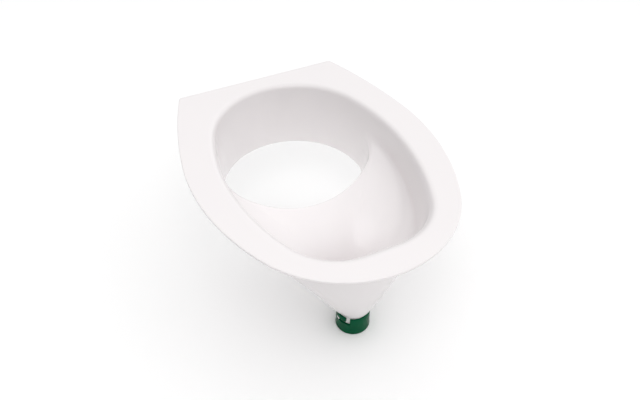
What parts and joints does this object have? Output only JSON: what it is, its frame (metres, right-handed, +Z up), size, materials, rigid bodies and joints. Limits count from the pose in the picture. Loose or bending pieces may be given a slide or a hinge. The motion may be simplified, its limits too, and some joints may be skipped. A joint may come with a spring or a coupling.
{
  "type": "urine-diverting toilet insert",
  "caption": "Drop-in separator insert for a dry toilet: flat flange, front funnel bowl, open rear chute behind a curved lip, and a twist-on bayonet drain coupling.",
  "frame": {"origin": "centre of the basin opening, on the plane of the flange's underside, which is where the bench's cut-out holds it", "axes": "+Z up out of the basin, +Y from the rounded front to the straight back, +X to the right"},
  "size_m": [0.3066, 0.3944, 0.1881],
  "materials": {
    "white_plastic": "glossy white moulding",
    "green_plastic": "glossy dark green moulding",
    "seal_rubber": "matt black rubber"
  },
  "bodies": {
    "insert": {"separator_body": "white_plastic"},
    "coupling": {"bayonet_coupling": "green_plastic", "spigot_seal": "seal_rubber", "pipe_seal": "seal_rubber"}
  },
  "joints": [
    {"name": "coupling_twist", "type": "hinge", "parent": "insert", "child": "coupling", "pos_m": [0, -0.1094, -0.17], "axis": [0, 0, 1], "range_deg": [-45, 0]}
  ]
}
